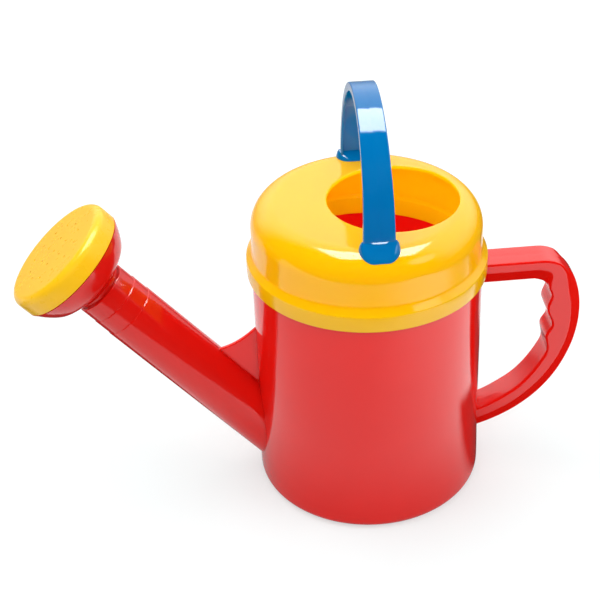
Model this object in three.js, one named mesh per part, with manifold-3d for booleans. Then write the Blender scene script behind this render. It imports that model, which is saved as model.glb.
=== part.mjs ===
// Toy watering can: a round vessel with a slanted spout and a hollow rear handle, a lid pressed on its rim
// that carries a strap bail, and a rose that plugs into the spout's mouth.
// Millimetres, +Z up, origin at the centre of the underside, +X towards the rear handle, the spout on -X.

import * as THREE from "three";
import { mergeVertices } from "three/addons/utils/BufferGeometryUtils.js";
import Module from "manifold-3d";

// Shared values
const fitGap = 0.3;            // clearance between pieces that seat, plug or are welded together
const overrun = 6;             // how far a cutter runs past what it cuts
const bigSides = 48;           // sides of the vessel and the lid
const smallSides = 36;         // sides of the spout and the rose

// Vessel
const vesselRadius = 62.4;     // outside of the straight wall
const vesselWall = 1.8;
const rimHeight = 141.2;
const footSpread = 0.7;        // how much wider the wall is at its foot
const footFlat = 9;            // height up to which the foot keeps its widest size
const footFlare = 55;          // height at which the wall is straight
const footRound = 5;           // rounding from the wall to the underside
const lipReach = 2;            // lip that carries the bottom disc, inwards from the rounding
const baseThickness = 1.6;
const baseSeat = 1.2;          // how far the disc's flange lies on the lip

// Lid
const bandWall = 2.3;          // band outside the rim
const bandBulge = 0.3;
const bandDrop = 8.2;          // how far the band hangs below the rim's seat
const bandRise = 2.2;          // how far it stands above it
const bandRound = 1.4;
const lidSetback = 0.5;        // how much smaller the lid's upper wall is than the vessel
const lidWall = 2.2;
const skirtDrop = 10.5;        // plug skirt inside the rim
const skirtWall = 1.5;
const shoulderRise = 18.3;     // seat to the start of the shoulder's rounding
const shoulderRound = 13.9;
const fillRadius = 35.3;
const fillLap = 1.5;           // how far the fill hole runs over the shoulder at the rear

// Bail
const bailRise = 63.7;         // crown above the lid's flat top
const bailLegRise = 6.3;       // straight legs above the flat top
const bailStepOut = 3;         // legs' outside past the lid's flat top
const bailFootWidth = 16.3;
const bailCrownWidth = 13;
const bailSheet = 2;
const bailFlange = 1.4;        // edge flanges of the strap's channel
const bailDepth = 4.6;         // depth of the channel over its flanges
const collarLength = 21;
const collarWidth = 15;
const collarSetIn = 0.5;       // collars' centres in from the legs' outer faces
const collarHeight = 1.8;
const collarSeat = 1;          // depth of the collar's seat in the lid
const pegLength = 11;
const pegThickness = 2.6;
const pegDrop = 5;             // below the lid's shell
const hookReach = 1;
const hookHeight = 2.4;

// Spout
const spoutRise = THREE.MathUtils.degToRad(49.5);
const spoutRootHeight = 36.9;  // where the spout's axis meets the wall
const spoutLength = 124.6;     // along the axis, wall to mouth
const spoutRadius = 16;        // at the root
const spoutTaper = 0.15;       // loss of radius up to the first ring
const spoutWall = 2;
const ringSpacing = 10.5;      // mouth to second ring, and second ring to first
const ringStep = 0.3;
const ringChamfer = 0.5;
const webThickness = 2.4;
const webPeak = 97.8;          // height at the wall
const webReach = 20.6;         // from the wall to where its top edge meets the tube

// Rose
const plugLength = 12;
const plugWall = 1.6;
const plugLead = 0.6;
const roseRadius = 33;
const bowlDepth = 20.2;        // mouth of the spout to the bowl's rim
const bowlWall = 1.6;
const spigotHeight = 6;        // ring inside the face's skirt
const faceWall = 1.5;
const faceHeight = 11.7;
const faceRound = 1.4;
const faceThickness = 1.8;
const sprayRadius = 0.6;
const sprayPitch = 9;          // between rings of spray holes
const sprayRings = 2;
const spraySides = 6;

// Rear handle
const handleDrop = 1.4;        // top of the arm below the lid's band
const handleFoot = 18;         // height where the outer edge meets the wall
const handleReach = 57.5;      // wall to the outermost point
const handleWidth = 17.2;
const handleRound = 3;
const handleWall = 2;

// Derived places
const footRadius = vesselRadius + footSpread;
const boreRadius = spoutRadius - spoutTaper - spoutWall;
const lidSeat = rimHeight + fitGap;
const handleTop = lidSeat - bandDrop - handleDrop;
const lidRadius = vesselRadius - lidSetback;
const flatRadius = lidRadius - shoulderRound;
const shoulderStart = lidSeat + shoulderRise;
const lidTop = shoulderStart + shoulderRound;
const fillCentre = flatRadius + fillLap - fillRadius;
const bailHalfSpan = flatRadius + bailStepOut;
const tipRadius = spoutRadius - spoutTaper - 2 * ringStep;

const wasm = await Module();
wasm.setup();

// Makes a closed geometry into a solid that can be joined and cut.
function solid(geometry) {
  const bare = geometry.clone();
  bare.deleteAttribute("normal");
  bare.deleteAttribute("uv");
  const merged = mergeVertices(bare);
  const corners = merged.index.array;
  const kept = [];
  for (let i = 0; i < corners.length; i += 3) {
    const [a, b, c] = [corners[i], corners[i + 1], corners[i + 2]];
    if (a !== b && b !== c && c !== a) kept.push(a, b, c);
  }
  const vertProperties = Float32Array.from(merged.attributes.position.array);
  return new wasm.Manifold(new wasm.Mesh({ numProp: 3, vertProperties, triVerts: Uint32Array.from(kept) }));
}

// Makes a finished piece from a solid, with its own material.
function piece(name, shape, color, roughness) {
  const { vertProperties, triVerts } = shape.getMesh();
  const geometry = new THREE.BufferGeometry();
  geometry.setAttribute("position", new THREE.BufferAttribute(vertProperties, 3));
  geometry.setIndex(new THREE.BufferAttribute(triVerts, 1));
  geometry.computeVertexNormals();
  const mesh = new THREE.Mesh(geometry, new THREE.MeshStandardMaterial({ color, roughness, metalness: 0 }));
  mesh.name = name;
  return mesh;
}

const red = 0xdc1a1c;
const yellow = 0xffc80a;
const blue = 0x0070b8;
const glossy = 0.2;

// Turns a profile of [radius, height] points round +Z. Its outside runs upwards and its inside downwards.
function turned(profile, sides) {
  const points = profile.map(([radius, height]) => new THREE.Vector2(radius, height));
  return new THREE.LatheGeometry(points, sides).rotateX(Math.PI / 2);
}

// A turned profile that closes on itself round a hole.
function turnedRing(profile, sides) {
  return turned([...profile, profile[0]], sides);
}

// Points of an arc in a profile, from one angle to another.
function arc(centre, height, radius, from, to, steps) {
  return Array.from({ length: steps + 1 }, (_, i) => {
    const angle = from + (to - from) * i / steps;
    return [centre + radius * Math.cos(angle), height + radius * Math.sin(angle)];
  });
}

// Extrudes an outline drawn in x and z, evenly to both sides of the middle plane.
function plate(outline, thickness, options = {}) {
  const bevel = options.bevelThickness ?? 0;
  const depth = thickness - 2 * bevel;
  const settings = { bevelEnabled: bevel > 0, curveSegments: 10, ...options, depth };
  return new THREE.ExtrudeGeometry(outline, settings).translate(0, 0, -depth / 2).rotateX(Math.PI / 2);
}

// Extrudes an outline drawn in y and z, evenly to both sides of x = 0.
function crossPlate(outline, thickness) {
  const settings = { bevelEnabled: false, curveSegments: 14, depth: thickness };
  const geometry = new THREE.ExtrudeGeometry(outline, settings).translate(0, 0, -thickness / 2);
  const turn = new THREE.Matrix4().makeBasis(
    new THREE.Vector3(0, 1, 0), new THREE.Vector3(0, 0, 1), new THREE.Vector3(1, 0, 0));
  return geometry.applyMatrix4(turn);
}

function box(sizeX, sizeY, sizeZ, x, y, z) {
  return new THREE.BoxGeometry(sizeX, sizeY, sizeZ).translate(x, y, z);
}

// An upright round bar between two heights.
function bar(radius, sides, from, to, x = 0, y = 0) {
  const length = to - from;
  return new THREE.CylinderGeometry(radius, radius, length, sides)
    .rotateX(Math.PI / 2).translate(x, y, from + length / 2);
}

// The vessel's outer wall, grown by an offset. Half way up the flare a third of the spread is left.
const flareShare = 0.33;

function vesselOutline(offset) {
  return [
    [footRadius + offset, footFlat],
    [vesselRadius + footSpread * flareShare + offset, (footFlat + footFlare) / 2],
    [vesselRadius + offset, footFlare],
    [vesselRadius + offset, rimHeight],
  ];
}

// The space that the vessel takes, with the clearance that welded pieces keep to it.
function vesselSpace() {
  return solid(turned([
    [0, -overrun],
    [footRadius + fitGap, -overrun],
    ...vesselOutline(fitGap),
    [0, rimHeight],
  ], bigSides));
}

// The spout's frame: +Z runs up its axis from the vessel's wall.
const spoutFrame = new THREE.Matrix4().makeRotationY(spoutRise - Math.PI / 2)
  .setPosition(-vesselRadius, 0, spoutRootHeight);
const intoSpoutFrame = spoutFrame.clone().invert();
const spoutBore = turned([
  [0, -2 * spoutRadius],
  [boreRadius, -2 * spoutRadius],
  [boreRadius, spoutLength + overrun],
  [0, spoutLength + overrun],
], smallSides);

function bodyShell() {
  const lipRadius = footRadius - footRound - lipReach;
  const inner = vesselOutline(-vesselWall).reverse();
  const shell = solid(turnedRing([
    [lipRadius, 0],
    ...arc(footRadius - footRound, footRound, footRound, -Math.PI / 2, 0, 4),
    ...vesselOutline(0),
    ...inner,
    ...arc(footRadius - footRound, footRound, footRound - vesselWall, 0, -Math.PI / 2, 3),
    [lipRadius, vesselWall],
  ], bigSides));
  return shell.subtract(solid(spoutBore.clone().applyMatrix4(spoutFrame)));
}

function baseDisc() {
  const opening = footRadius - footRound - lipReach;
  const step = vesselWall + fitGap;
  return solid(turned([
    [0, 0],
    [opening - fitGap, 0],
    [opening - fitGap, step],
    [opening + baseSeat, step],
    [opening + baseSeat, step + baseThickness],
    [0, step + baseThickness],
  ], bigSides));
}

// The web between the tube's top and the vessel's wall. Its free edge bends towards the wall.
const webBendShare = [0.5, 0.17];

function spoutWeb() {
  const wall = -vesselRadius;
  const outerEnd = wall - webReach;
  const tubeTop = spoutRootHeight + spoutRadius / Math.cos(spoutRise) + webReach * Math.tan(spoutRise);
  const outline = new THREE.Shape();
  outline.moveTo(outerEnd, tubeTop - spoutWall);
  outline.lineTo(outerEnd, tubeTop);
  outline.quadraticCurveTo(
    wall - webReach * webBendShare[0], tubeTop + (webPeak - tubeTop) * webBendShare[1], wall, webPeak);
  outline.lineTo(wall + overrun, webPeak);
  outline.lineTo(wall + overrun, spoutRootHeight + spoutRadius);
  outline.lineTo(wall - spoutWall, spoutRootHeight + spoutRadius);
  return solid(plate(outline, webThickness));
}

function spoutTube() {
  const firstRing = spoutLength - 2 * ringSpacing;
  const secondRing = spoutLength - ringSpacing;
  const root = -2 * spoutRadius;
  const straight = spoutRadius - spoutTaper;
  const tube = solid(turned([
    [0, root],
    [spoutRadius, root],
    [straight, firstRing],
    [straight - ringStep, firstRing + ringChamfer],
    [straight - ringStep, secondRing],
    [tipRadius, secondRing + ringChamfer],
    [tipRadius, spoutLength - ringChamfer],
    [tipRadius - ringChamfer, spoutLength],
    [0, spoutLength],
  ], smallSides));
  const web = spoutWeb().transform(intoSpoutFrame.elements);
  const space = vesselSpace().transform(intoSpoutFrame.elements);
  return tube.add(web).subtract(solid(spoutBore)).subtract(space);
}

// The rear handle's outline in x and z, with its ends inside the vessel.
// Shares run from the wall to the outermost point, and from the foot to the flat top.
const handleOuterShares = {
  shoulder: [0.567, 1], shoulderPull: [0.89, 1], widestPull: [1, 0.82], widest: [1, 0.67],
  heelPull: [1, 0.36], footPull: [0.655, 0.094], foot: [0, 0],
};
const armBottomShare = 0.873;
const innerFootShare = 0.14;
const gripShares = [
  [0.144, 0.171], [0.36, 0.24], [0.5, 0.311], [0.626, 0.408], [0.677, 0.475], [0.657, 0.556],
  [0.712, 0.622], [0.654, 0.715], [0.687, 0.793], [0.623, 0.853], [0.53, armBottomShare],
];

function handleOutline() {
  const place = ([across, up]) => [
    vesselRadius + handleReach * across,
    handleFoot + (handleTop - handleFoot) * up,
  ];
  const placed = Object.entries(handleOuterShares).map(([name, share]) => [name, place(share)]);
  const outer = Object.fromEntries(placed);
  const inside = vesselRadius - overrun;
  const outline = new THREE.Shape();
  outline.moveTo(inside, handleTop);
  outline.lineTo(...outer.shoulder);
  outline.bezierCurveTo(...outer.shoulderPull, ...outer.widestPull, ...outer.widest);
  outline.bezierCurveTo(...outer.heelPull, ...outer.footPull, ...outer.foot);
  outline.lineTo(inside, handleFoot);
  outline.lineTo(inside, place([0, innerFootShare])[1]);
  outline.lineTo(...place([0, innerFootShare]));
  outline.splineThru(gripShares.map((share) => new THREE.Vector2(...place(share))));
  outline.lineTo(inside, place([0, armBottomShare])[1]);
  return outline;
}

// The handle's full body with its rounded edges, or its hollow where the wall is taken off.
function handleBody(wall) {
  return solid(plate(handleOutline(), handleWidth - 2 * wall, {
    bevelThickness: handleRound - wall,
    bevelSize: handleRound - wall,
    bevelOffset: -handleRound,
    bevelSegments: 2,
    curveSegments: 7,
  }));
}

// Half of the rear handle, on the side that the sign gives.
function handleShell(side) {
  const reach = 2 * (vesselRadius + handleReach + handleTop);
  const half = solid(box(reach, handleWidth, reach, 0, side * (handleWidth + fitGap) / 2, 0));
  return handleBody(0).subtract(handleBody(handleWall)).intersect(half).subtract(vesselSpace());
}

// The lid's upper wall, shoulder and flat top as one full body, grown by an offset.
function lidSpace(offset) {
  return solid(turned([
    [0, lidSeat - skirtDrop],
    [lidRadius + offset, lidSeat - skirtDrop],
    ...arc(flatRadius, shoulderStart, shoulderRound + offset, 0, Math.PI / 2, 7),
    [0, lidTop + offset],
  ], bigSides));
}

// An upright column with round ends, as wide and long as a collar on each side of the lid.
function collarColumns(grow) {
  const width = collarWidth + 2 * grow;
  const height = lidTop + 2 * collarHeight;
  const middle = (collarLength - collarWidth) / 2;
  const footing = bailHalfSpan - collarSetIn;
  const columns = [-1, 1].flatMap((side) => [
    solid(box(2 * middle, width, height, 0, side * footing, height / 2)),
    solid(bar(width / 2, smallSides, 0, height, -middle, side * footing)),
    solid(bar(width / 2, smallSides, 0, height, middle, side * footing)),
  ]);
  return columns.reduce((whole, part) => whole.add(part));
}

// A pair of bars at the places where the bail's feet go through the lid, upwards from the pegs' lower ends.
function footBars(length, thickness, height) {
  const bottom = lidTop - lidWall - pegDrop;
  const place = bailHalfSpan - bailDepth / 2;
  const [left, right] = [-1, 1].map((side) => solid(
    box(length, thickness, height, 0, side * place, bottom + height / 2)));
  return left.add(right);
}

// The pegs under the collars, or the slots that they pass through.
function pegs(grow) {
  return footBars(pegLength + 2 * grow, pegThickness + 2 * grow, bailLegRise + lidWall + pegDrop);
}

function hooks() {
  return footBars(pegLength / 2, pegThickness + 2 * hookReach, hookHeight);
}

function lidCap() {
  const bandInner = vesselRadius + fitGap;
  const bandOuter = bandInner + bandWall;
  const bandBottom = lidSeat - bandDrop;
  const bandTop = lidSeat + bandRise;
  const skirtOuter = vesselRadius - vesselWall - fitGap;
  const skirtInner = skirtOuter - skirtWall;
  const cap = solid(turned([
    [0, lidTop - lidWall],
    ...arc(flatRadius, shoulderStart, shoulderRound - lidWall, Math.PI / 2, 0, 5),
    [lidRadius - lidWall, lidSeat + lidWall],
    [skirtInner, lidSeat],
    [skirtInner, lidSeat - skirtDrop],
    [skirtOuter, lidSeat - skirtDrop],
    [skirtOuter, lidSeat],
    [bandInner, lidSeat],
    [bandInner, bandBottom],
    [bandOuter, bandBottom],
    [bandOuter + bandBulge, lidSeat - bandDrop / 2],
    [bandOuter, bandTop - bandRound],
    [bandOuter - bandRound, bandTop],
    [lidRadius, bandTop + bandRound / 2],
    ...arc(flatRadius, shoulderStart, shoulderRound, 0, Math.PI / 2, 7),
    [0, lidTop],
  ], bigSides));
  const fill = solid(bar(fillRadius, bigSides, shoulderStart, lidTop + overrun, fillCentre));
  const seats = collarColumns(fitGap).subtract(lidSpace(-collarSeat));
  return cap.subtract(fill).subtract(seats).subtract(pegs(fitGap));
}

// The bail's arch in y and z, inside an edge that is drawn in by an inset.
function archOutline(inset) {
  const halfSpan = bailHalfSpan - inset;
  const spring = lidTop + bailLegRise;
  const outline = new THREE.Shape();
  outline.moveTo(halfSpan, shoulderStart);
  outline.lineTo(halfSpan, spring);
  outline.absellipse(0, spring, halfSpan, bailRise - bailLegRise - inset, 0, Math.PI, false);
  outline.lineTo(-halfSpan, shoulderStart);
  return solid(crossPlate(outline, bailFootWidth + overrun));
}

// The strap's width seen along y, drawn in by an inset on each side.
function strapTaper(inset) {
  const foot = bailFootWidth / 2 - inset;
  const crown = bailCrownWidth / 2 - inset;
  const outline = new THREE.Shape([
    new THREE.Vector2(-foot, shoulderStart - overrun),
    new THREE.Vector2(foot, shoulderStart - overrun),
    new THREE.Vector2(foot, lidTop + bailLegRise),
    new THREE.Vector2(crown, lidTop + bailRise + overrun),
    new THREE.Vector2(-crown, lidTop + bailRise + overrun),
    new THREE.Vector2(-foot, lidTop + bailLegRise),
  ]);
  return solid(plate(outline, 2 * bailHalfSpan + 2 * overrun));
}

function bailHandle() {
  const seats = lidSpace(fitGap - collarSeat);
  const lidAround = lidSpace(fitGap).subtract(collarColumns(0));
  const strap = archOutline(0).subtract(archOutline(bailDepth)).intersect(strapTaper(0));
  const hollow = archOutline(bailSheet).subtract(archOutline(bailDepth + overrun));
  const channel = hollow.intersect(strapTaper(bailFlange));
  const collars = collarColumns(0).intersect(lidSpace(collarHeight - collarSeat));
  const standing = strap.subtract(channel).add(collars).subtract(seats).subtract(lidAround);
  return standing.add(pegs(0)).add(hooks());
}

// The rose's pieces, drawn along the spout's axis from its mouth.
const bowlRadiusShares = [0.4, 0.53, 0.67, 0.78, 0.86, 0.94, 1];
const bowlHeightShares = [0.02, 0.2, 0.317, 0.436, 0.59, 0.8, 1];

function roseBowl() {
  const plugRadius = boreRadius - fitGap;
  const spigotRadius = roseRadius - faceWall - fitGap;
  const outside = bowlRadiusShares.map((share, i) => [roseRadius * share, bowlDepth * bowlHeightShares[i]]);
  const inside = outside.slice(1).reverse()
    .map(([radius, height]) => [radius - bowlWall, height + bowlWall / 2]);
  inside[0] = [spigotRadius - bowlWall, bowlDepth];
  return solid(turnedRing([
    [plugRadius - plugWall, -plugLength],
    [plugRadius - plugLead, -plugLength],
    [plugRadius, plugLead - plugLength],
    [plugRadius, 0],
    ...outside,
    [spigotRadius, bowlDepth],
    [spigotRadius, bowlDepth + spigotHeight],
    [spigotRadius - bowlWall, bowlDepth + spigotHeight],
    ...inside,
    [plugRadius - plugWall, bowlDepth * bowlHeightShares[1]],
  ], smallSides));
}

function roseFace() {
  const inner = roseRadius - faceWall;
  const bottom = bowlDepth + fitGap;
  const top = bottom + faceHeight;
  const cap = solid(turned([
    [0, top - faceThickness],
    [inner, top - faceThickness],
    [inner, bottom],
    [roseRadius, bottom],
    ...arc(roseRadius - faceRound, top - faceRound, faceRound, 0, Math.PI / 2, 3),
    [0, top],
  ], smallSides));
  const holes = [];
  for (let ring = 0; ring <= sprayRings; ring++) {
    const count = Math.max(1, 6 * ring);
    for (let i = 0; i < count; i++) {
      const angle = 2 * Math.PI * i / count;
      const [x, y] = [ring * sprayPitch * Math.cos(angle), ring * sprayPitch * Math.sin(angle)];
      holes.push(solid(bar(sprayRadius, spraySides, top - overrun, top + overrun, x, y)));
    }
  }
  return holes.reduce((rest, hole) => rest.subtract(hole), cap);
}

// Assembly
const wateringCan = new THREE.Group();
wateringCan.add(piece("body_shell", bodyShell(), red, glossy));
wateringCan.add(piece("base_disc", baseDisc(), red, glossy));
wateringCan.add(piece("handle_shell_left", handleShell(-1), red, glossy));
wateringCan.add(piece("handle_shell_right", handleShell(1), red, glossy));
wateringCan.add(piece("lid_cap", lidCap(), yellow, glossy));
wateringCan.add(piece("bail_handle", bailHandle(), blue, glossy));

const spout = new THREE.Group();
spout.position.setFromMatrixPosition(spoutFrame);
spout.rotation.y = spoutRise - Math.PI / 2;
spout.add(piece("spout_tube", spoutTube(), red, glossy));
wateringCan.add(spout);

const rose = new THREE.Group();
rose.position.z = spoutLength;
rose.add(piece("rose_bowl", roseBowl(), red, glossy));
rose.add(piece("rose_face", roseFace(), yellow, glossy));
spout.add(rose);

export default wateringCan;
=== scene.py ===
"""Toy watering can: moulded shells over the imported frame, glossy plastics, studio and camera."""
import math

import bmesh
import bpy
from mathutils import Matrix, Vector


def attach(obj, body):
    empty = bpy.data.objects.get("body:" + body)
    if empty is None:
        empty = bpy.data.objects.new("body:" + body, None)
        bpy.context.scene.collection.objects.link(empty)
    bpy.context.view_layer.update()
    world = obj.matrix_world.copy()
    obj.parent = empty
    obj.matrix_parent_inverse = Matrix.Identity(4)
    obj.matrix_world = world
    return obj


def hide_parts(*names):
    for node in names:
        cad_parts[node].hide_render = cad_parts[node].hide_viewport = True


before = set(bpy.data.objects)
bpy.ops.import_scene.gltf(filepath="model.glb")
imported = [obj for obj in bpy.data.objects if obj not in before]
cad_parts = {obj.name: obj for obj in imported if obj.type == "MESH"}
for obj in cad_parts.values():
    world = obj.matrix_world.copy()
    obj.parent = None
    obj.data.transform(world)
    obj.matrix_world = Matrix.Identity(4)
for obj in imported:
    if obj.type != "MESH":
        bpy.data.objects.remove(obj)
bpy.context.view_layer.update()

MM = 0.001
TURN_STEPS = 192
FINE = math.radians(9)

# The sizes of the CAD model, in millimetres
VESSEL_RADIUS, VESSEL_WALL, RIM = 62.4, 1.8, 141.2
FOOT_SPREAD, FOOT_FLAT, FOOT_FLARE, FOOT_ROUND, FLARE_POWER = 0.7, 9.0, 55.0, 5.0, 0.72
LIP_RADIUS = 56.1
SEAT = 141.5
FLAT_RADIUS, SHOULDER, SHOULDER_START, LID_TOP, LID_WALL = 48.0, 13.9, 159.8, 173.7, 2.2
FILL_RADIUS, FILL_CENTRE = 35.3, 14.2
BAIL_SPAN, BAIL_SPRING, BAIL_RISE = 51.0, 180.0, 57.4
BAIL_FOOT, BAIL_CROWN, BAIL_CROWN_AT = 16.3, 13.0, 243.4
BAIL_SHEET, BAIL_FLANGE, BAIL_DEPTH = 2.0, 1.4, 4.6
COLLAR_LENGTH, COLLAR_WIDTH, COLLAR_AT, COLLAR_PROUD, COLLAR_SUNK = 21.0, 15.0, 50.5, 0.8, 0.9
COLLAR_CROWN, PEG_FOOT, BARB_TOP = 3.9, 166.5, 168.9
SPOUT_RISE, SPOUT_ROOT, SPOUT_LENGTH = math.radians(49.5), 36.9, 124.6
SPOUT_RADIUS, BORE_RADIUS = 15.85, 13.85
RING_SPACING, RING_STEP, RING_CHAMFER = 10.5, 0.3, 0.5
WEB_THICKNESS, WEB_PEAK, WEB_REACH, WEB_BEND = 2.4, 97.8, 20.6, (0.5, 0.17)
ROSE_RADIUS, BOWL_DEPTH, FACE_HEIGHT = 33.0, 20.2, 11.7
SPRAY_RADIUS, SPRAY_PITCH, SPRAY_RINGS = 0.6, 9.0, 2
HANDLE_TOP, HANDLE_FOOT, HANDLE_REACH, HANDLE_WIDTH = 131.9, 18.0, 57.5, 17.2


def rounded(corners, closed=False, step=FINE):
    """Points of a line of (x, y, radius) corners, each rounded by its radius."""
    points, count = [], len(corners)
    for i, (x, y, radius) in enumerate(corners):
        here = Vector((x, y))
        if radius <= 0 or (not closed and i in (0, count - 1)):
            points.append((x, y))
            continue
        back = (Vector(corners[i - 1][:2]) - here).normalized()
        ahead = (Vector(corners[(i + 1) % count][:2]) - here).normalized()
        turn = math.pi - back.angle(ahead)
        if turn < 1e-3:
            points.append((x, y))
            continue
        reach = radius * math.tan(turn / 2)
        centre = here + (back + ahead).normalized() * (radius / math.cos(turn / 2))
        start = here + back * reach - centre
        side = 1 if back.x * ahead.y - back.y * ahead.x < 0 else -1
        steps = max(2, math.ceil(turn / step))
        for k in range(steps + 1):
            a = side * turn * k / steps
            points.append((centre.x + start.x * math.cos(a) - start.y * math.sin(a),
                           centre.y + start.x * math.sin(a) + start.y * math.cos(a)))
    return points


def spline(points, steps):
    """A smooth curve through points, with that many steps between two of them."""
    path = []
    for i in range(len(points) - 1):
        a, b, c, d = (points[min(max(j, 0), len(points) - 1)] for j in range(i - 1, i + 3))
        for k in range(steps):
            t = k / steps
            path.append(tuple(
                0.5 * (2 * q + (r - p) * t + (2 * p - 5 * q + 4 * r - s) * t ** 2
                       + (3 * q - p - 3 * r + s) * t ** 3)
                for p, q, r, s in zip(a, b, c, d)))
    return path + [tuple(points[-1])]


def bezier(a, b, c, d, steps):
    """Points of a cubic curve, without its last one."""
    path = []
    for k in range(steps):
        t = k / steps
        weights = ((1 - t) ** 3, 3 * t * (1 - t) ** 2, 3 * t * t * (1 - t), t ** 3)
        path.append(tuple(sum(w * p[i] for w, p in zip(weights, (a, b, c, d))) for i in (0, 1)))
    return path


class Shape:
    """Corners in millimetres and faces, gathered into one mesh."""

    def __init__(self):
        self.verts, self.faces = [], []

    def ring(self, points):
        first = len(self.verts)
        self.verts += [tuple(p) for p in points]
        return list(range(first, len(self.verts)))

    def skin(self, rings, closed=False):
        """Quads between rings of the same length, or fans where a ring is one point."""
        pairs = list(zip(rings, rings[1:])) + ([(rings[-1], rings[0])] if closed else [])
        for low, high in pairs:
            count = max(len(low), len(high))
            for i in range(count):
                j = (i + 1) % count
                corners = [low[i % len(low)], low[j % len(low)],
                           high[j % len(high)], high[i % len(high)]]
                face = [c for k, c in enumerate(corners) if c != corners[k - 1]]
                if len(face) > 2:
                    self.faces.append(face)

    def cap(self, ring):
        self.faces.append(list(ring))

    def turned(self, profile, closed=False, steps=TURN_STEPS):
        """A profile of (radius, height) turned round +Z."""
        rings = []
        for radius, height in profile:
            if radius < 1e-6:
                rings.append(self.ring([(0, 0, height)]))
            else:
                rings.append(self.ring([(radius * math.cos(a), radius * math.sin(a), height)
                                        for a in (2 * math.pi * k / steps for k in range(steps))]))
        self.skin(rings, closed=closed)

    def box(self, low, high, edge):
        """A box with rounded edges."""
        bm = bmesh.new()
        size = [b - a for a, b in zip(low, high)]
        middle = [(a + b) / 2 for a, b in zip(low, high)]
        place = Matrix.Translation(middle) @ Matrix.Diagonal((*size, 1))
        bmesh.ops.create_cube(bm, size=1, matrix=place)
        bmesh.ops.bevel(bm, geom=bm.edges[:], offset=edge, segments=3, affect="EDGES",
                        profile=0.5)
        first = len(self.verts)
        self.verts += [tuple(v.co) for v in bm.verts]
        bm.verts.index_update()
        self.faces += [[first + v.index for v in f.verts] for f in bm.faces]
        bm.free()

    def make(self, name, matrix=None):
        mesh = bpy.data.meshes.new(name)
        mesh.from_pydata([Vector(v) * MM for v in self.verts], [], self.faces)
        bm = bmesh.new()
        bm.from_mesh(mesh)
        bmesh.ops.recalc_face_normals(bm, faces=bm.faces[:])
        if matrix is not None:
            bm.transform(matrix)
        bm.to_mesh(mesh)
        bm.free()
        shown = bpy.data.objects.new(name, mesh)
        bpy.context.scene.collection.objects.link(shown)
        return shown


def carve(shown, tool):
    """Cuts one mesh with another, which is then deleted."""
    change = shown.modifiers.new("carve", "BOOLEAN")
    change.operation, change.object, change.solver = "DIFFERENCE", tool, "EXACT"
    graph = bpy.context.evaluated_depsgraph_get()
    mesh = bpy.data.meshes.new_from_object(shown.evaluated_get(graph))
    shown.modifiers.clear()
    shown.data = mesh
    bpy.data.objects.remove(tool)


def show(shown, material, body, nodes, sharp=32):
    """Finishes a piece: smooth faces, creases where it has edges, its material, body and nodes."""
    mesh = shown.data
    mesh.shade_smooth()
    mesh.set_sharp_from_angle(angle=math.radians(sharp))
    mesh.materials.clear()
    mesh.materials.append(material)
    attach(shown, body)
    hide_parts(*nodes)


# Materials
def wire(tree):
    """Short calls that add nodes to a tree and link them."""
    def put(kind, inputs=(), **settings):
        node = tree.nodes.new(kind)
        for name, value in settings.items():
            setattr(node, name, value)
        for socket, value in dict(inputs).items():
            if isinstance(value, bpy.types.NodeSocket):
                tree.links.new(value, node.inputs[socket])
            else:
                node.inputs[socket].default_value = value
        return node

    def math_node(operation, a, b=0.0):
        return put("ShaderNodeMath", {0: a, 1: b}, operation=operation).outputs[0]

    def ramp(value, low, high, start=0.0, end=1.0):
        return put("ShaderNodeMapRange", {
            "Value": value, "From Min": low, "From Max": high, "To Min": start, "To Max": end,
        }, interpolation_type="SMOOTHSTEP").outputs["Result"]

    return put, math_node, ramp


# Scales of the noises, strength and height of the two bumps, and depth of the light's way inside
FLOW_SCALE, HAZE_SCALE, SWELL_SCALE, PEEL_SCALE = 22, 160, 45, 900
SWELL, PEEL = (0.35, 0.0003), (0.25, 0.00002)
BLEED_DEPTH = 0.008


def plastic(name, color, deep, gloss, bleed, shine=0.5):
    """Glossy moulded plastic: faint flow marks, an uneven sheen and a slightly wavy skin.

    The bleed is the share of light that goes into the plastic, and how far each colour gets."""
    material = bpy.data.materials.new(name)
    material.use_nodes = True
    put = wire(material.node_tree)[0]
    place = put("ShaderNodeTexCoord").outputs["Object"]

    def noise(scale, detail, distortion=0.0):
        return put("ShaderNodeTexNoise", {"Vector": place, "Scale": scale, "Detail": detail,
                                          "Distortion": distortion}).outputs["Fac"]

    def bump(height, strength, distance, **under):
        return put("ShaderNodeBump", {"Height": height, "Strength": strength,
                                      "Distance": distance, **under}).outputs["Normal"]

    tint = put("ShaderNodeMix", {"A": (*color, 1), "B": (*deep, 1),
                                 "Factor": noise(FLOW_SCALE, 3, 1.2)}, data_type="RGBA")
    sheen = put("ShaderNodeMapRange", {"Value": noise(HAZE_SCALE, 4), "From Min": 0.3,
                                       "From Max": 0.75, "To Min": gloss, "To Max": gloss + 0.05})
    broad = bump(noise(SWELL_SCALE, 1), *SWELL)
    fine = bump(noise(PEEL_SCALE, 2), *PEEL, Normal=broad)
    shader = material.node_tree.nodes["Principled BSDF"].inputs
    for socket, value in (("IOR", 1.5), ("Subsurface Weight", bleed[0]),
                          ("Subsurface Radius", bleed[1:]), ("Subsurface Scale", BLEED_DEPTH),
                          ("Specular IOR Level", shine)):
        shader[socket].default_value = value
    for socket, value in (("Base Color", tint.outputs["Result"]),
                          ("Roughness", sheen.outputs["Result"]), ("Normal", fine)):
        material.node_tree.links.new(value, shader[socket])
    return material


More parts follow.
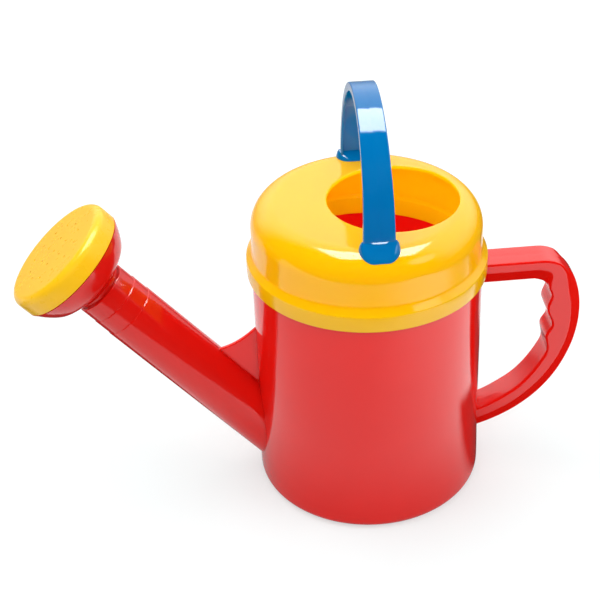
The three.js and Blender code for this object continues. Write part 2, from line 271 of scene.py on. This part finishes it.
def matte_bevels(material):
    """Takes the gloss off the slanting faces between the handle's flat sides and its rim."""
    tree = material.node_tree
    put, math_node, _ = wire(tree)
    normal = put("ShaderNodeSeparateXYZ", {0: put("ShaderNodeTexCoord").outputs["Normal"]})
    level = put("ShaderNodeFloatCurve", {"Value": math_node("ABSOLUTE", normal.outputs["Y"])})
    points = level.mapping.curves[0].points
    for point, place in zip(points, ((0.0, 0.5), (1.0, 0.5))):
        point.location = place
    for place in ((0.3, 0.5), (0.45, 0.0), (0.95, 0.0), (0.985, 0.5)):
        points.new(*place)
    for point in points:
        point.handle_type = "VECTOR"
    level.mapping.update()
    tree.links.new(level.outputs[0], tree.nodes["Principled BSDF"].inputs["Specular IOR Level"])


RED_LOOK = ((0.77, 0.010, 0.006), (0.72, 0.007, 0.004), 0.07, (0.35, 1.0, 0.06, 0.04))
RED = plastic("red_plastic_look", *RED_LOOK)
YELLOW = plastic("yellow_plastic_look", (1.0, 0.55, 0.002), (1.0, 0.52, 0.001), 0.26,
                 (0.15, 1.0, 0.9, 0.1), 0.4)
THIN_YELLOW = plastic("thin_yellow_plastic_look", (1.0, 0.525, 0.002), (1.0, 0.495, 0.001), 0.07,
                      (0.7, 0.5, 0.48, 0.05), 0.4)
BLUE = plastic("blue_plastic_look", (0.0, 0.165, 0.44), (0.0, 0.15, 0.40), 0.06,
               (0.1, 0.1, 0.3, 1.0))
HANDLE_RED = plastic("handle_plastic_look", *RED_LOOK)
matte_bevels(HANDLE_RED)

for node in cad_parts.values():
    node.data.materials.clear()
    node.data.materials.append(RED)


# Vessel
def flare(height):
    t = min(max((height - FOOT_FLAT) / (FOOT_FLARE - FOOT_FLAT), 0), 1) ** FLARE_POWER
    return VESSEL_RADIUS + FOOT_SPREAD * (1 - t * t * (3 - 2 * t))


def make_vessel():
    heights = [FOOT_FLAT + (FOOT_FLARE - FOOT_FLAT) * k / 24 for k in range(25)]
    foot = VESSEL_RADIUS + FOOT_SPREAD
    outside = [(LIP_RADIUS, 0, 0), (foot, 0, FOOT_ROUND)] + [(flare(h), h, 0) for h in heights]
    outside += [(VESSEL_RADIUS, RIM, 0.6)]
    inside = [(VESSEL_RADIUS - VESSEL_WALL, RIM, 0.6)]
    inside += [(flare(h) - VESSEL_WALL, h, 0) for h in reversed(heights)]
    inside += [(foot - VESSEL_WALL, VESSEL_WALL, FOOT_ROUND - VESSEL_WALL),
               (LIP_RADIUS, VESSEL_WALL, 0)]
    shape = Shape()
    shape.turned(rounded(outside + inside, closed=True), closed=True)
    vessel = shape.make("vessel_shell")
    bore = Shape()
    bore.turned([(0, -35), (BORE_RADIUS, -35), (BORE_RADIUS, 40), (0, 40)], steps=96)
    carve(vessel, bore.make("bore", spout_frame))
    show(vessel, RED, "can", ["body_shell"])

    disc = Shape()
    step, edge = VESSEL_WALL + 0.3, LIP_RADIUS - 0.3
    disc.turned(rounded([
        (0, 0.9, 0), (38, 0.9, 2), (41, 0, 2), (edge, 0, 0.5), (edge, step, 0),
        (LIP_RADIUS + 1.2, step, 0.3), (LIP_RADIUS + 1.2, step + 1.6, 0.5), (0, step + 1.6, 0)]))
    show(disc.make("bottom_disc"), RED, "can", ["base_disc"])


# Spout, drawn along its own axis from the vessel's wall
spout_frame = Matrix.Translation((-VESSEL_RADIUS * MM, 0, SPOUT_ROOT * MM)) @ Matrix.Rotation(
    SPOUT_RISE - math.pi / 2, 4, "Y")


def make_spout():
    mouth = SPOUT_LENGTH
    first, second = mouth - 2 * RING_SPACING, mouth - RING_SPACING
    middle, tip = SPOUT_RADIUS - RING_STEP, SPOUT_RADIUS - 2 * RING_STEP
    tube = Shape()
    tube.turned(rounded([
        (BORE_RADIUS, -32, 0), (SPOUT_RADIUS + 0.15, -32, 0), (SPOUT_RADIUS, first, 0.3),
        (middle, first + RING_CHAMFER, 0.2), (middle, second, 0.3),
        (tip, second + RING_CHAMFER, 0.2), (tip, mouth, 0.6), (BORE_RADIUS, mouth, 0.3),
    ], closed=True), closed=True)
    spout = tube.make("spout", spout_frame)
    inside = Shape()
    inside.turned([(0, -10), (VESSEL_RADIUS - 0.8, -10), (VESSEL_RADIUS - 0.8, 160), (0, 160)])
    carve(spout, inside.make("inside"))
    show(spout, RED, "can", ["spout_tube"])

    wall = -VESSEL_RADIUS
    top = SPOUT_ROOT + 16 / math.cos(SPOUT_RISE) + WEB_REACH * math.tan(SPOUT_RISE)
    bend = (wall - WEB_REACH * WEB_BEND[0], top + (WEB_PEAK - top) * WEB_BEND[1])
    ends = [(wall - WEB_REACH, top), bend, (wall, WEB_PEAK)]
    curve = []
    for k in range(33):
        t = k / 32
        weights = ((1 - t) ** 2, 2 * t * (1 - t), t * t)
        curve.append(tuple(sum(w * p[i] for w, p in zip(weights, ends)) for i in (0, 1)))
    outline = curve + [(wall + 8, WEB_PEAK), (wall + 8, 53), (wall - 1.5, 53),
                       (wall - WEB_REACH, top - 1.8)]
    half = WEB_THICKNESS / 2
    profile = edge_profile([(0, 0, 0), (0, half, 0.7), (1.4, half, 0)], 8)
    web = plate("spout_web", outline, [profile] * len(outline), lambda x: min(x, wall + 0.9))
    show(web, RED, "can", ["spout_tube"])


def outward(outline):
    """The outward direction at each point of a clockwise outline, and the stretch of its corner."""
    ways = []
    for i, (x, y) in enumerate(outline):
        ax, ay = outline[i - 1]
        bx, by = outline[(i + 1) % len(outline)]
        one = Vector((x - ax, y - ay)).normalized()
        two = Vector((bx - x, by - y)).normalized()
        way = Vector((-one.y - two.y, one.x + two.x))
        way = way.normalized() if way.length > 1e-6 else Vector((-one.y, one.x))
        ways.append((way, 1 / max(0.5, abs(way.dot(Vector((-one.y, one.x)))))))
    return ways


def edge_profile(corners, count=14):
    """Points from the middle plane to the side face: (way inwards, distance from the plane)."""
    line = [Vector(p) for p in rounded(corners, step=math.radians(6))]
    lengths = [0]
    for p, q in zip(line, line[1:]):
        lengths.append(lengths[-1] + (q - p).length)
    points = []
    for k in range(count):
        at = lengths[-1] * (1 - (1 - k / (count - 1)) ** 1.5)
        i = next((j for j in range(1, len(line)) if lengths[j] >= at), len(line) - 1)
        share = (at - lengths[i - 1]) / (lengths[i] - lengths[i - 1])
        points.append(line[i - 1].lerp(line[i], share))
    return points + [points[-1] + Vector((0.4, 0))]


def plate(name, outline, profiles, wall, seam=0):
    """An outline in x and z made solid to both sides of the middle plane.

    Each point has its own edge profile. The wall keeps x from reaching through what carries it."""
    rows = len(profiles[0])
    ways = outward(outline)
    shape, half = Shape(), []
    for k in range(rows):
        ring = []
        for (x, z), (way, stretch), profile in zip(outline, ways, profiles):
            depth, y = profile[k]
            depth = max(depth, seam) if k == 0 else depth
            ring.append((wall(x - way.x * depth * stretch), y, z - way.y * depth * stretch))
        half.append(ring)
    rings = [[(x, -y, z) for x, y, z in ring] for ring in reversed(half[1:])] + half
    rings = [shape.ring(ring) for ring in rings]
    shape.skin(rings)
    shape.cap(rings[0][::-1])
    shape.cap(rings[-1])
    return shape.make(name)


# Rear handle
def handle_outline():
    rise = HANDLE_TOP - HANDLE_FOOT

    def place(across, up):
        return VESSEL_RADIUS + HANDLE_REACH * across, HANDLE_FOOT + rise * up

    outer = [place(*p) for p in ((0.567, 1), (0.89, 1), (1, 0.82), (1, 0.67))]
    outer_low = [place(*p) for p in ((1, 0.67), (1, 0.36), (0.655, 0.094), (0, 0))]
    grip = [place(*p) for p in (
        (0, 0.14), (0.144, 0.171), (0.36, 0.24), (0.5, 0.311), (0.626, 0.408), (0.677, 0.475),
        (0.657, 0.556), (0.712, 0.622), (0.654, 0.715), (0.687, 0.793), (0.623, 0.853),
        (0.53, 0.873))]
    hidden = VESSEL_RADIUS - 12
    steps = (0, 2, 3, 4, 5, 6, 7)
    start = [(hidden + (outer[0][0] - hidden) * k / 8, HANDLE_TOP) for k in steps]
    outside = start + bezier(*outer, 48) + bezier(*outer_low, 64)
    outside += [outer_low[-1], (hidden, HANDLE_FOOT)]
    inside = [(hidden, place(0, 0.14)[1])] + spline(grip, 14)
    inner, below = inside[-1][0], place(0, 0.873)[1]
    inside += [(hidden + (inner - hidden) * k / 8, below) for k in reversed(steps)]
    return outside, inside


def smooth(value, low, high):
    t = min(max((value - low) / (high - low), 0), 1)
    return t * t * (3 - 2 * t)


def make_handle():
    """The handle: small roundings at the grip and on top, wide bevels at the rim and underneath."""
    outside, inside = handle_outline()
    half = HANDLE_WIDTH / 2

    def bevelled(drop, reach, end):
        slant = [(0.1, half - drop, 1.0), (reach, half, 1.5)]
        return edge_profile([(0, 0, 0)] + slant + [(end, half, 0)])

    top = edge_profile([(0, 0, 0), (0, half, 0.9), (2.4, half, 0)])
    grip = edge_profile([(0, 0, 0), (0.2, half, 1.2), (2.0, half, 0)])
    outer, low, under = bevelled(4.3, 6.0, 7.6), bevelled(5.2, 9.0, 10.2), bevelled(4.9, 9.0, 10.0)
    outline = outside + inside
    profiles = []
    for i, (way, _) in enumerate(outward(outline)):
        if i >= len(outside):
            mix = [p.lerp(q, smooth(-way.y, 0.5, 0.95)) for p, q in zip(grip, under)]
        elif way.y > 0:
            mix = [p.lerp(q, smooth(-way.y, -0.9, -0.2)) for p, q in zip(top, outer)]
        else:
            mix = [p.lerp(q, smooth(-way.y, 0.0, 0.75)) for p, q in zip(outer, low)]
        profiles.append(mix)
    handle = plate("rear_handle", outline, profiles, lambda x: max(x, VESSEL_RADIUS - 1),
                   seam=0.08)
    show(handle, HANDLE_RED, "can", ["handle_shell_left", "handle_shell_right"],
         sharp=40)


# Lid
def lid_height(radius, grow=0.0):
    """Height of the lid's top, or of a skin that far off it, at a distance from its axis."""
    past = max(0.0, radius - FLAT_RADIUS)
    return SHOULDER_START + math.sqrt(max(0.0, (SHOULDER + grow) ** 2 - past ** 2))


def make_lid():
    shape = Shape()
    angles = [2 * math.pi * k / TURN_STEPS for k in range(TURN_STEPS)]
    bound = FLAT_RADIUS + 2.5

    def around_hole(grow, height):
        """A ring at the hole's edge, whose points face those of the lid's rings."""
        points = []
        for a in angles:
            x, y = bound * math.cos(a) - FILL_CENTRE, bound * math.sin(a)
            away = math.hypot(x, y)
            radius = FILL_RADIUS + grow
            px, py = FILL_CENTRE + x / away * radius, y / away * radius
            points.append((px, py, height(math.hypot(px, py))))
        return points

    def between(share, grow, height):
        ring = around_hole(grow, height)
        points = []
        for a, (px, py, _) in zip(angles, ring):
            x = px + (bound * math.cos(a) - px) * share
            y = py + (bound * math.sin(a) - py) * share
            points.append((x, y, height(math.hypot(x, y))))
        return points

    def top(radius):
        return lid_height(radius)

    def ceiling(radius):
        return lid_height(radius, -LID_WALL)

    edge, lip = 0.7, 0.35
    shares = [1 - (1 - k / 20) ** 1.8 for k in range(1, 20)]
    rings = [shape.ring(between(s, lip, ceiling)) for s in reversed(shares)]
    bends = [math.pi / 2 * k / 6 for k in range(7)]
    for bend in bends:
        grow, rise = lip * (1 - math.sin(bend)), lip * (1 - math.cos(bend))
        rings.append(shape.ring(around_hole(grow, lambda r, rise=rise: ceiling(r) + rise)))
    for bend in reversed(bends):
        grow, drop = edge * (1 - math.sin(bend)), edge * (1 - math.cos(bend))
        rings.append(shape.ring(around_hole(grow, lambda r, drop=drop: top(r) - drop)))
    rings += [shape.ring(between(s, edge, top)) for s in shares]

    def arc(radius, start, end, steps):
        return [(FLAT_RADIUS + radius * math.cos(a), SHOULDER_START + radius * math.sin(a))
                for a in (start + (end - start) * k / steps for k in range(steps + 1))]

    outer_start = math.acos((bound - FLAT_RADIUS) / SHOULDER)
    inner_start = math.acos((bound - FLAT_RADIUS) / (SHOULDER - LID_WALL))
    lid_radius, inner = FLAT_RADIUS + SHOULDER, FLAT_RADIUS + SHOULDER - LID_WALL
    band_in, band_out, band_foot = VESSEL_RADIUS + 0.3, VESSEL_RADIUS + 2.6, SEAT - 8.2
    skirt_out, skirt_foot = VESSEL_RADIUS - VESSEL_WALL - 0.3, SEAT - 10.5
    skirt_in = skirt_out - 1.5
    bulge = [(band_out + 0.15 * math.sin(math.pi * k / 12), SEAT + 0.4 - 8.6 * k / 12, 0)
             for k in range(1, 12)]
    wall = [(lid_radius, SHOULDER_START - 1, 0), (lid_radius, SEAT + 4.5, 2.4),
            (band_out, SEAT + 0.9, 1.2)]
    wall += bulge + [(band_out, band_foot, 0.7), (band_in, band_foot, 0.4), (band_in, SEAT, 0)]
    wall += [(skirt_out, SEAT, 0), (skirt_out, skirt_foot, 0.5), (skirt_in, skirt_foot, 0.5)]
    wall += [(skirt_in, SEAT, 1.5), (inner, SEAT + 2.2, 1.5), (inner, SHOULDER_START - 1, 0)]
    profile = arc(SHOULDER, outer_start, 0, 26) + rounded(wall)
    profile += arc(SHOULDER - LID_WALL, 0, inner_start, 20)
    for radius, height in profile:
        rings.append(shape.ring([(radius * math.cos(a), radius * math.sin(a), height)
                                 for a in angles]))
    shape.skin(rings, closed=True)
    show(shape.make("lid"), THIN_YELLOW, "lid", ["lid_cap"])


# Bail
def bail_section(width):
    """The strap's channel section: across it, and inwards from its outer face."""
    half, seam = width / 2, 0.07
    inner = half - BAIL_FLANGE
    corners = [(-half, 0, 0.7), (-0.5, 0, 0), (0, seam, 0), (0.5, 0, 0), (half, 0, 0.7),
               (half, BAIL_DEPTH, 0.5), (inner, BAIL_DEPTH, 0.5), (inner, BAIL_SHEET, 0.6),
               (-inner, BAIL_SHEET, 0.6), (-inner, BAIL_DEPTH, 0.5), (-half, BAIL_DEPTH, 0.5)]
    return rounded(corners, closed=True, step=math.radians(18))


def make_bail():
    shape, rings = Shape(), []
    foot = LID_TOP + 0.3
    legs = [(foot + (BAIL_SPRING - foot) * k / 4) for k in range(4)]
    path = [((-BAIL_SPAN, z), (1, 0)) for z in legs]
    for k in range(97):
        a = math.pi * (1 - k / 96)
        y, z = BAIL_SPAN * math.cos(a), BAIL_RISE * math.sin(a)
        slope = Vector((-y / BAIL_SPAN ** 2, -z / BAIL_RISE ** 2)).normalized()
        path.append(((y, BAIL_SPRING + z), tuple(slope)))
    path += [((BAIL_SPAN, z), (-1, 0)) for z in reversed(legs)]
    for (y, z), (ny, nz) in path:
        share = max(0, z - BAIL_SPRING) / (BAIL_CROWN_AT - BAIL_SPRING)
        width = BAIL_FOOT + (BAIL_CROWN - BAIL_FOOT) * share
        rings.append(shape.ring([(x, y + n * ny, z + n * nz) for x, n in bail_section(width)]))
    shape.skin(rings)
    shape.cap(rings[0][::-1])
    shape.cap(rings[-1])
    strap = shape.make("bail_strap")
    show(strap, BLUE, "lid", ["bail_handle"], sharp=40)

    feet = Shape()
    straight, end = (COLLAR_LENGTH - COLLAR_WIDTH) / 2, COLLAR_WIDTH / 2
    steps = [-math.pi / 2 + math.pi * k / 24 for k in range(25)]
    rim = [(straight + end * math.cos(a), end * math.sin(a), straight) for a in steps]
    rim += [(-straight - end * math.cos(a), -end * math.sin(a), -straight) for a in steps]
    lip = 0.75
    rows = [(0, -COLLAR_SUNK)]
    rows += [(lip * (1 - math.cos(b)), COLLAR_PROUD - lip * (1 - math.sin(b)))
             for b in (math.pi / 2 * k / 6 for k in range(7))]
    rows += [(inward, COLLAR_PROUD) for inward in (1.6, 2.8, 4.2, 5.8, end - 0.02)]
    for side in (-1, 1):
        rings = []
        for inward, proud in rows:
            points = []
            for x, y, anchor in rim:
                shrink = 1 - inward / end
                px, py = anchor + (x - anchor) * shrink, side * COLLAR_AT + y * shrink
                crown = COLLAR_CROWN * (1 - abs(abs(py) - COLLAR_AT) / end)
                crown *= min(1, max(0, inward) / 1.2)
                points.append((px, py, lid_height(math.hypot(px, py), proud) + crown))
            rings.append(feet.ring(points))
        feet.skin(rings)
        feet.cap(rings[0][::-1])
        feet.cap(rings[-1])
        peg = side * (BAIL_SPAN - BAIL_DEPTH / 2)
        feet.box((-5.5, peg - 1.3, PEG_FOOT), (5.5, peg + 1.3, LID_TOP), 0.35)
        feet.box((-2.75, peg - 2.3, PEG_FOOT), (2.75, peg + 2.3, BARB_TOP), 0.4)
    show(feet.make("bail_feet"), BLUE, "lid", ["bail_handle"])


# Rose, drawn along the spout's axis from its mouth
rose_frame = spout_frame @ Matrix.Translation((0, 0, SPOUT_LENGTH * MM))


def make_rose():
    radii = [0.4, 0.405, 0.45, 0.55, 0.67, 0.78, 0.86, 0.94, 1]
    heights = [0.0, 0.1, 0.155, 0.23, 0.32, 0.436, 0.59, 0.8, 1]
    back = spline([(ROSE_RADIUS * r, BOWL_DEPTH * h) for r, h in zip(radii, heights)], 8)
    plug, spigot, wall = BORE_RADIUS - 0.3, ROSE_RADIUS - 1.8, 1.6
    outside = [(plug - wall, -12), (plug - 0.6, -12), (plug, -11.4), (plug, 0)] + back
    outside += [(spigot, BOWL_DEPTH), (spigot, BOWL_DEPTH + 6), (spigot - wall, BOWL_DEPTH + 6)]
    inside = [(r - wall, h + wall / 2) for r, h in reversed(back[8:-1])]
    shape = Shape()
    shape.turned(outside + [(spigot - wall, BOWL_DEPTH)] + inside + [(plug - wall, 4)], closed=True)
    show(shape.make("rose_cup", rose_frame), RED, "rose", ["rose_bowl"])

    bottom, top = BOWL_DEPTH + 0.3, BOWL_DEPTH + 0.3 + FACE_HEIGHT
    inner = ROSE_RADIUS - 1.5
    cap = Shape()
    cap.turned([(0, top - 1.8)] + rounded([
        (0, top - 1.8, 0), (inner, top - 1.8, 0.8), (inner, bottom, 0.2),
        (ROSE_RADIUS, bottom, 0.35), (ROSE_RADIUS, top, 4.2), (0, top, 0),
    ])[1:-1] + [(ROSE_RADIUS - 5, top), (0, top)])
    face = cap.make("rose_disc", rose_frame)
    hole = Shape()
    for ring in range(SPRAY_RINGS + 1):
        count = max(1, 6 * ring)
        for k in range(count):
            a = 2 * math.pi * k / count
            x, y = ring * SPRAY_PITCH * math.cos(a), ring * SPRAY_PITCH * math.sin(a)
            low = hole.ring([
                (x + SPRAY_RADIUS * math.cos(b), y + SPRAY_RADIUS * math.sin(b), top - 4)
                for b in (2 * math.pi * j / 24 for j in range(24))])
            high = hole.ring([(px, py, top + 4) for px, py, _ in (hole.verts[i] for i in low)])
            hole.skin([low, high])
            hole.cap(low[::-1])
            hole.cap(high)
    carve(face, hole.make("holes", rose_frame))
    show(face, YELLOW, "face", ["rose_face"])


make_vessel()
make_spout()
make_handle()
make_lid()
make_bail()
make_rose()


# Studio
def seen_directly(put, math_node):
    """1 on rays that show a surface, directly or in gloss, and 0 on those that light others."""
    path = put("ShaderNodeLightPath").outputs
    either = math_node("MAXIMUM", path["Is Glossy Ray"], path["Is Transmission Ray"])
    return math_node("MAXIMUM", path["Is Camera Ray"], either), path


world = bpy.data.worlds.new("studio")
bpy.context.scene.world = world
world.use_nodes = True
world.node_tree.nodes.clear()
put, math_node, ramp = wire(world.node_tree)
direction = put("ShaderNodeTexCoord").outputs["Generated"]
toward = put("ShaderNodeSeparateXYZ", {0: direction}).outputs
seen, path = seen_directly(put, math_node)


def patch(azimuth, elevation, half_width, edge, strength):
    """A round soft light in a direction of the sky, in degrees."""
    a, e = math.radians(azimuth), math.radians(elevation)
    centre = (math.cos(e) * math.cos(a), math.cos(e) * math.sin(a), math.sin(e))
    near = put("ShaderNodeVectorMath", {0: direction, 1: centre}, operation="DOT_PRODUCT")
    outside, inside = (math.cos(math.radians(way)) for way in (half_width + edge, half_width))
    return ramp(near.outputs["Value"], outside, inside, 0, strength)


# What shows in the gloss: a pale back wall, a dark room in front and softboxes above
behind = put("ShaderNodeVectorMath", {0: direction, 1: (0.5, 0.87, 0)}, operation="DOT_PRODUCT")
wall = math_node("MULTIPLY", ramp(behind.outputs["Value"], -0.1, 0.45),
                 ramp(toward["Z"], -0.08, 0.45, 0.5, 1.9))


def share_over(value, low, high, edge):
    """1 between two values, with a soft edge outside them."""
    return math_node("MULTIPLY", ramp(value, low - edge, low), ramp(value, high, high + edge, 1, 0))


height = math_node("MAXIMUM", toward["Z"], 0.2)
over_x, over_y = (math_node("DIVIDE", toward[axis], height) for axis in "XY")
ceiling = math_node("MULTIPLY", share_over(over_x, -0.3, 0.5, 0.06),
                    share_over(over_y, -0.16, 0.40, 0.05))
ceiling = math_node("MULTIPLY", ceiling, 18)
sky = math_node("MAXIMUM", wall, ceiling)
sky = math_node("MAXIMUM", sky, patch(-36, 36, 10, 4, 2.8))

# Plain white on rays from the camera
from_camera = path["Is Camera Ray"]
white = math_node("SUBTRACT", 100, math_node("MULTIPLY", from_camera, 99))
shown_sky = math_node("MINIMUM", math_node("MAXIMUM", sky, from_camera), white)
lit = put("ShaderNodeBackground", {"Color": (1, 1, 1, 1), "Strength": 0.66}).outputs[0]
look = put("ShaderNodeBackground", {"Color": (1, 1, 1, 1), "Strength": shown_sky}).outputs[0]
both = put("ShaderNodeMixShader", {0: seen, 1: lit, 2: look}).outputs[0]
put("ShaderNodeOutputWorld", {"Surface": both})


def sheet(name, low, high, height):
    """A flat sheet of the stage."""
    shape = Shape()
    corners = ((low[0], low[1]), (high[0], low[1]), (high[0], high[1]), (low[0], high[1]))
    shape.cap(shape.ring([(x, y, height) for x, y in corners]))
    made = shape.make(name)
    return made


# The floor is white to look at and keeps the shadow; from below it can be seen through.
# In gloss it is a bright sheet that ends in front and on the right, with a dark strip behind; this
# glow is a painted reflection, brighter to the right, with painted shadow close round the can and
# beside the handle's foot.
floor = sheet("floor", (-6000, -6000), (6000, 6000), 0)
floor_look = bpy.data.materials.new("floor_look")
floor_look.use_nodes = True
floor_look.node_tree.nodes.clear()
put, math_node, ramp = wire(floor_look.node_tree)
seen, path = seen_directly(put, math_node)
geometry = put("ShaderNodeNewGeometry").outputs
here = put("ShaderNodeSeparateXYZ", {0: geometry["Position"]}).outputs
lean = math_node("MULTIPLY", math_node("MAXIMUM", here["X"], 0.06), 0.15)
slant = math_node("SUBTRACT", here["Y"], lean)
aside = math_node("SUBTRACT", here["X"], math_node("MULTIPLY", here["Y"], 0.3))
far = math_node("MULTIPLY", ramp(slant, 0.075, 0.105), ramp(aside, 0.12, 0.15, 1, 0))
far = math_node("MULTIPLY", far, ramp(here["Y"], 0.3, 0.8, 1, 0.4))
# Painted shadow in the gloss, beside the handle's foot
painted_handle_shadow = math_node("MULTIPLY", ramp(here["X"], 0.05, 0.065), ramp(here["Y"], -0.035, -0.015))
painted_handle_shadow = math_node("MULTIPLY", painted_handle_shadow, ramp(here["X"], 0.122, 0.14, 1, 0))
shade = math_node("SUBTRACT", 1, painted_handle_shadow)
away = put("ShaderNodeVectorMath", {0: geometry["Position"]}, operation="LENGTH").outputs["Value"]
# Painted light in the gloss: the sheet's glow grows brighter to the right
bright = ramp(here["X"], -0.05, 0.22, 1.1, 1.9)
# Fades: the sheet's front and right ends, the painted shadow beside the handle, painted shadow
# close round the can, and the dark strip
for fade in (ramp(here["Y"], -0.37, -0.27), ramp(here["X"], 0.27, 0.295, 1, 0.05), shade,
             ramp(away, 0.06, 0.13, 0.4, 1), ramp(slant, 0.009, 0.017, 1, 0)):
    bright = math_node("MULTIPLY", bright, fade)
bright = math_node("MAXIMUM", math_node("ADD", bright, far), 0.06)
glossy = path["Is Glossy Ray"]
plain = ramp(away, 0.3, 1.2, 0.49, 1)
more = math_node("MULTIPLY", glossy, math_node("SUBTRACT", bright, plain))
strength = math_node("MULTIPLY", seen, math_node("ADD", more, plain))
# Painted tint: seen directly or in gloss, the floor's paint has less red than green and blue,
# cancelling the red light the can bounces into its shadow
tint_against_red_bounce = put("ShaderNodeCombineColor", {
    name: math_node("SUBTRACT", 0.54, math_node("MULTIPLY", seen, less))
    for name, less in (("Red", 0.11), ("Green", 0.05), ("Blue", 0.05))}).outputs[0]
paint = put("ShaderNodeBsdfDiffuse", {"Color": tint_against_red_bounce}).outputs[0]
black = put("ShaderNodeBsdfDiffuse", {"Color": (0, 0, 0, 1)}).outputs[0]
paint = put("ShaderNodeMixShader", {0: glossy, 1: paint, 2: black}).outputs[0]
glow = put("ShaderNodeEmission", {"Color": (1, 1, 1, 1), "Strength": strength}).outputs[0]
both = put("ShaderNodeAddShader", {0: paint, 1: glow}).outputs[0]
clear = put("ShaderNodeBsdfTransparent").outputs[0]
both = put("ShaderNodeMixShader", {0: geometry["Backfacing"], 1: both, 2: clear}).outputs[0]
put("ShaderNodeOutputMaterial", {"Surface": both})
floor.data.materials.append(floor_look)


def lamp(name, kind, place, power, **settings):
    """A lamp that neither the camera nor the gloss shows."""
    light = bpy.data.lights.new(name, kind)
    light.energy = power
    for setting, value in settings.items():
        setattr(light, setting, value)
    made = bpy.data.objects.new(name, light)
    bpy.context.scene.collection.objects.link(made)
    made.location = place
    made.visible_camera = made.visible_glossy = False
    return made


def softbox(name, place, width, height, power):
    """A rectangular lamp that faces the middle of the can."""
    made = lamp(name, "AREA", place, power, shape="RECTANGLE", size=width, size_y=height)
    way = Vector(LIT_POINT) - Vector(place)
    turn = way.to_track_quat("-Z", "Y").to_matrix().to_4x4()
    made.matrix_world = Matrix.Translation(place) @ turn


LIT_POINT = (0, 0, 0.1)
softbox("top_light", (-0.4, 0.1, 1.3), 1.0, 1.0, 8.5)
softbox("front_light", (-0.2, -1.5, 1.1), 1.6, 1.0, 8.5)
softbox("right_light", (1.2, -0.5, 0.9), 0.8, 0.8, 5)
softbox("back_light", (0.3, 1.3, 0.5), 1.6, 1.0, 9)

# The light that the thin lid lets into the can
lamp("inside_light", "POINT", (0.01, 0, 0.15), 0.055, shadow_soft_size=0.015)

# Camera, fitted to the photograph's view
camera_data = bpy.data.cameras.new("camera")
camera = bpy.data.objects.new("camera", camera_data)
bpy.context.scene.collection.objects.link(camera)
place = Vector((-78.98, -628.84, 533.78)) * MM
right = Vector((0.991134, -0.132719, -0.006317))
up = Vector((0.074294, 0.514148, 0.854478))
forward = Vector((0.110158, 0.847371, -0.519449))
turn = Matrix((right, up, -forward)).transposed().to_4x4()
camera.matrix_world = Matrix.Translation(place) @ turn
camera_data.sensor_width = 36
camera_data.lens = 82.959
camera_data.shift_x, camera_data.shift_y = -0.12, -0.10
camera_data.clip_start, camera_data.clip_end = 0.01, 20
bpy.context.scene.camera = camera

bpy.context.scene.view_settings.view_transform = "Standard"
